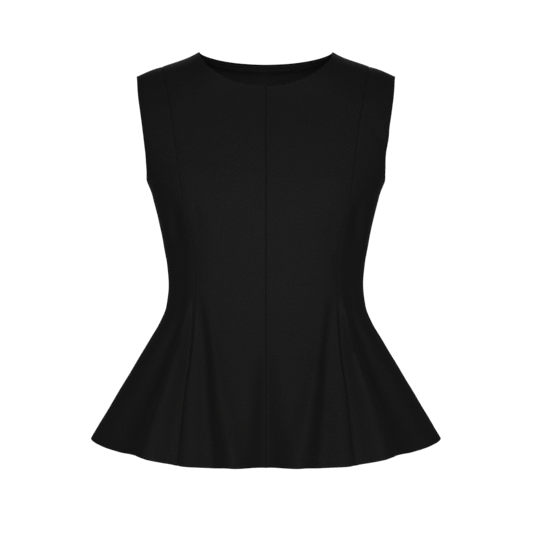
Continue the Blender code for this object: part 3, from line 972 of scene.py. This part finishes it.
def back_grid(context):
    """The whole back centre panel, from one princess seam to the other."""
    face, sizes = face_and_sizes(context, "back")
    places, neck_end = centre_places(face, sizes)
    places = np.concatenate(([0.0], places[places > BACK_MIDDLE / CENTRE_NOMINAL]))
    half = PanelGrid(face, places, sizes.grid)
    other = half.mirrored()
    whole = object.__new__(PanelGrid)
    for name in ("points", "normals", "heights", "down", "from_hem", "peplum"):
        both = (getattr(other, name)[:, :-1], getattr(half, name))
        setattr(whole, name, np.concatenate(both, axis=1))
    whole.places = np.concatenate((-other.places[:-1], half.places))
    whole.across = lengths_along(whole.points, 1)
    whole.from_last = whole.across[:, -1:] - whole.across
    return whole, sizes, neck_end


class TOP_OT_back_centre(Operator):
    """Make the back centre panel"""

    bl_idname = "top.back_centre"
    bl_label = "Back centre"

    def execute(self, context):
        grid, sizes, neck_end = back_grid(context)
        nearest = np.minimum(grid.across, grid.from_last)
        seams = {
            "first": 1.0,
            "last": 1.0,
            "top": (np.abs(grid.places) >= neck_end - SLOPE_STEP).astype(float),
            "ridge": princess_ridge(grid, nearest),
        }
        make_panel(context, grid, sizes, seams, "back_centre")
        return {"FINISHED"}


FACING_TOP = 0.0011
FACING_BOTTOM = 0.055
FACING_REACH = 0.605
FACING_CLEARANCE = 0.0002
FACING_CLOTH = 0.0011
FACING_ON_TURN = 0.012
FACING_LINE_WIDTH = 0.0009
FACING_LINE_DEPTH = 0.0006


class TOP_OT_facing(Operator):
    """Make the facing inside the back of the neck"""

    bl_idname = "top.facing"
    bl_label = "Back neck facing"

    def execute(self, context):
        grid, sizes, _ = back_grid(context)
        columns = np.flatnonzero(np.abs(grid.places) <= FACING_REACH)
        middle = grid.down[:, len(grid.places) // 2]
        rows = np.flatnonzero((middle >= FACING_TOP) & (middle <= FACING_BOTTOM))
        block = np.ix_(rows, columns)
        points, normals = grid.points[block], grid.normals[block]
        under = np.where(grid.down[block] < FACING_ON_TURN, sizes.turned, sizes.cloth)
        outer = points - normals * (under + FACING_CLEARANCE)[..., None]
        # The line of small stitches that holds the turned edge down inside.
        line = np.exp(-(((grid.down[block] - sizes.edge_turn) / FACING_LINE_WIDTH) ** 2))
        inner = outer - normals * (FACING_CLOTH - FACING_LINE_DEPTH * line)[..., None]
        uv = np.stack((grid.across[block], -grid.down[block]), axis=-1)
        free = np.ones(points.shape[:2])
        mesh = wall("back_neck_facing_cloth", outer, inner, normals, uv, free)
        # Painted light: the facing gets a lighter copy of the crepe, standing in for the light that
        # reaches inside the back of the neck.
        colour = tuple(context.scene.top_colours.facing)
        material = crepe_material("black_facing_painted_light", colour, 0.8)
        piece = finish_piece("back_neck_facing_cloth", mesh, material)
        declare_cloth("back_neck_facing")
        return {"FINISHED"}


STITCH_LENGTH = 0.0008
STITCH_THICKNESS = 0.00022
STITCH_SHORTEST = 0.75
STITCH_LONGEST = 1.20
STITCH_SEED = 7
FEWEST_FACES = 20


def stitch_tree(material):
    """Nodes that lay short stitches at even steps along a line."""
    tree = bpy.data.node_groups.new("hem_stitches", "GeometryNodeTree")
    tree.interface.new_socket("Line", in_out="INPUT", socket_type="NodeSocketGeometry")
    inputs = {}
    for name in ("Gap", "Length", "Thickness"):
        socket = tree.interface.new_socket(name, in_out="INPUT", socket_type="NodeSocketFloat")
        inputs[name] = socket.identifier
    tree.interface.new_socket("Stitches", in_out="OUTPUT", socket_type="NodeSocketGeometry")
    start = add_node(tree, "NodeGroupInput")
    curve = add_node(tree, "GeometryNodeMeshToCurve")
    join(tree, start, "Line", curve, "Mesh")
    points = add_node(tree, "GeometryNodeCurveToPoints")
    points.mode = "LENGTH"
    join(tree, curve, "Curve", points, "Curve")
    join(tree, start, "Gap", points, "Length")
    stitch = add_node(tree, "GeometryNodeMeshIcoSphere", {"Radius": 1.0, "Subdivisions": 1})
    size = add_node(tree, "ShaderNodeCombineXYZ")
    join(tree, start, "Thickness", size, "X")
    join(tree, start, "Thickness", size, "Y")
    uneven = add_node(tree, "FunctionNodeRandomValue")
    uneven.data_type = "FLOAT"
    uneven.inputs["Min"].default_value = STITCH_SHORTEST
    uneven.inputs["Max"].default_value = STITCH_LONGEST
    uneven.inputs["Seed"].default_value = STITCH_SEED
    longer = add_node(tree, "ShaderNodeMath")
    longer.operation = "MULTIPLY"
    join(tree, start, "Length", longer, 0)
    tree.links.new(next(s for s in uneven.outputs if s.enabled), longer.inputs[1])
    join(tree, longer, "Value", size, "Z")
    place = add_node(tree, "GeometryNodeInstanceOnPoints")
    join(tree, points, "Points", place, "Points")
    join(tree, points, "Rotation", place, "Rotation")
    join(tree, stitch, "Mesh", place, "Instance")
    join(tree, size, "Vector", place, "Scale")
    real = add_node(tree, "GeometryNodeRealizeInstances")
    join(tree, place, "Instances", real, "Geometry")
    colour = add_node(tree, "GeometryNodeSetMaterial", {"Material": material})
    join(tree, real, "Geometry", colour, "Geometry")
    end = add_node(tree, "NodeGroupOutput")
    join(tree, colour, "Geometry", end, "Stitches")
    return tree, inputs


class TOP_OT_hem_stitches(Operator):
    """Sew the small blind stitches of the hem"""

    bl_idname = "top.hem_stitches"
    bl_label = "Hem stitches"

    def execute(self, context):
        sizes = context.scene.top_sizes
        material = thread_material(tuple(context.scene.top_colours.thread))
        verts, edges = [], []
        for line in HEM_LINES.values():
            first = len(verts)
            verts.extend(line.tolist())
            edges.extend((at, at + 1) for at in range(first, len(verts) - 1))
        if not edges:
            raise RuntimeError("the panels must be made before their hem is sewn")
        path_mesh = bpy.data.meshes.new("hem_line")
        path_mesh.from_pydata(verts, edges, [])
        path = add_object("hem_line", path_mesh)
        tree, inputs = stitch_tree(material)
        sewing = path.modifiers.new("stitches", "NODES")
        sewing.node_group = tree
        sewing[inputs["Gap"]] = sizes.stitch_gap
        sewing[inputs["Length"]] = STITCH_LENGTH
        sewing[inputs["Thickness"]] = STITCH_THICKNESS
        context.view_layer.update()
        evaluated = path.evaluated_get(context.evaluated_depsgraph_get())
        mesh = bpy.data.meshes.new_from_object(evaluated)
        bpy.data.objects.remove(path)
        bpy.data.meshes.remove(path_mesh)
        bpy.data.node_groups.remove(tree)
        if len(mesh.polygons) < FEWEST_FACES:
            raise RuntimeError("the hem has no stitches")
        mesh.name = "hem_stitches"
        mesh.materials.clear()
        mesh.polygons.foreach_set("material_index", [0] * len(mesh.polygons))
        mesh.shade_smooth()
        finish_piece("hem_stitches", mesh, material)
        return {"FINISHED"}


# Studio

CAMERA_DISTANCE = 2.6
CAMERA_X = 0.0008
CAMERA_Z = -0.3003
FRAME_WIDTH = 0.7462
SENSOR = 36.0

FLOOR_Z = -1.35
ROOM_RADIUS = 6.0
ROOM_HEIGHT = 5.0
ROOM_CURVE = 1.5
ROOM_SIDES = 64
ROOM_STEPS = 8

AIM = (0.0, 0.0, -0.3)
AIR_LIGHT = 0.052

# Each softbox: its name, its place, its width and height, and its watts.
SOFTBOXES = (
    ("front_above", (0.0, -2.4, 1.7), (1.6, 1.0), 11.0),
    ("front_low", (0.0, -2.8, -1.2), (1.4, 0.3), 24.0),
    ("front_left", (-2.2, -2.2, 0.1), (1.2, 2.4), 2.6),
    ("front_right", (2.2, -2.2, 0.1), (1.2, 2.4), 3.0),
    ("side_left", (-2.8, 0.0, 0.2), (1.0, 2.0), 1.6),
    ("side_right", (2.8, 0.0, 0.2), (1.0, 2.0), 1.9),
    ("back_above", (0.0, 2.4, 1.7), (1.6, 1.0), 9.0),
    ("back_low", (0.0, 2.8, -1.2), (2.0, 0.3), 17.0),
)


def cove_mesh():
    """A round floor that curves up all round into a wall, with its faces inwards."""
    flat = ROOM_RADIUS - ROOM_CURVE
    outline = [(flat * share, FLOOR_Z) for share in (0.25, 0.5, 0.75, 1.0)]
    for step in range(1, ROOM_STEPS + 1):
        turn = math.pi / 2.0 * step / ROOM_STEPS
        radius = flat + ROOM_CURVE * math.sin(turn)
        outline.append((radius, FLOOR_Z + ROOM_CURVE * (1.0 - math.cos(turn))))
    outline.append((ROOM_RADIUS, FLOOR_Z + ROOM_HEIGHT))
    verts, faces = [(0.0, 0.0, FLOOR_Z)], []
    for radius, z in outline:
        for side in range(ROOM_SIDES):
            turn = math.tau * side / ROOM_SIDES
            verts.append((radius * math.cos(turn), radius * math.sin(turn), z))
    for side in range(ROOM_SIDES):
        following = (side + 1) % ROOM_SIDES
        faces.append((0, 1 + side, 1 + following))
        for ring in range(len(outline) - 1):
            low, high = 1 + ring * ROOM_SIDES, 1 + (ring + 1) * ROOM_SIDES
            faces.append((low + side, high + side, high + following, low + following))
    mesh = bpy.data.meshes.new("studio_cove")
    mesh.from_pydata(verts, [], faces)
    mesh.shade_smooth()
    return mesh


def add_softbox(name, place, size, watts):
    """A square soft light that faces the middle of the top."""
    data = bpy.data.lights.new(name, "AREA")
    data.shape = "RECTANGLE"
    data.size, data.size_y = size
    data.energy = watts
    light = add_object(name, data)
    light.location = place
    direction = Vector(AIM) - Vector(place)
    light.rotation_euler = direction.to_track_quat("-Z", "Y").to_euler()


class TOP_OT_stage(Operator):
    """Make the floor, the backdrop, the lights and the camera"""

    bl_idname = "top.stage"
    bl_label = "Studio"

    def execute(self, context):
        scene = context.scene
        cove = add_object("studio_cove", cove_mesh())
        cove.data.materials.append(plaster_material(tuple(scene.top_colours.floor)))
        # The white room is for the eye alone, so black cloth keeps its dark sides.
        cove.visible_diffuse = False
        cove.visible_glossy = False
        for box in SOFTBOXES:
            add_softbox(*box)
        world = bpy.data.worlds.new("studio_air")
        world.use_nodes = True
        air = world.node_tree.nodes["Background"]
        air.inputs["Color"].default_value = (1.0, 1.0, 1.0, 1.0)
        air.inputs["Strength"].default_value = AIR_LIGHT
        scene.world = world
        scene.view_settings.view_transform = "Standard"
        data = bpy.data.cameras.new("camera")
        data.sensor_width = SENSOR
        data.lens = SENSOR * CAMERA_DISTANCE / FRAME_WIDTH
        camera = add_object("camera", data)
        camera.location = (CAMERA_X, -CAMERA_DISTANCE, CAMERA_Z)
        camera.rotation_euler = (math.pi / 2.0, 0.0, 0.0)
        scene.camera = camera
        return {"FINISHED"}


class TOP_PT_panel(Panel):
    """Lists the pieces of the top"""

    bl_label = "Sleeveless top"
    bl_idname = "TOP_PT_panel"
    bl_space_type = "VIEW_3D"
    bl_region_type = "UI"
    bl_category = "Top"

    def draw(self, context):
        layout = self.layout
        for operator in PIECES:
            layout.operator(operator.bl_idname)
        for group in (context.scene.top_sizes, context.scene.top_colours):
            box = layout.box()
            for name in group.__annotations__:
                box.prop(group, name)


PIECES = (
    TOP_OT_stage,
    TOP_OT_front_centre,
    TOP_OT_front_sides,
    TOP_OT_back_centre,
    TOP_OT_back_sides,
    TOP_OT_facing,
    TOP_OT_hem_stitches,
)
CLASSES = (TopSizes, TopColours, *PIECES, TOP_PT_panel)


def register():
    for cls in CLASSES:
        bpy.utils.register_class(cls)
    bpy.types.Scene.top_sizes = PointerProperty(type=TopSizes)
    bpy.types.Scene.top_colours = PointerProperty(type=TopColours)


def unregister():
    del bpy.types.Scene.top_colours
    del bpy.types.Scene.top_sizes
    for cls in reversed(CLASSES):
        bpy.utils.unregister_class(cls)


def main():
    register()
    bpy.ops.top.stage()
    bpy.ops.top.front_centre()
    bpy.ops.top.front_sides()
    bpy.ops.top.back_centre()
    bpy.ops.top.back_sides()
    bpy.ops.top.facing()
    bpy.ops.top.hem_stitches()


if __name__ == "__main__":
    main()
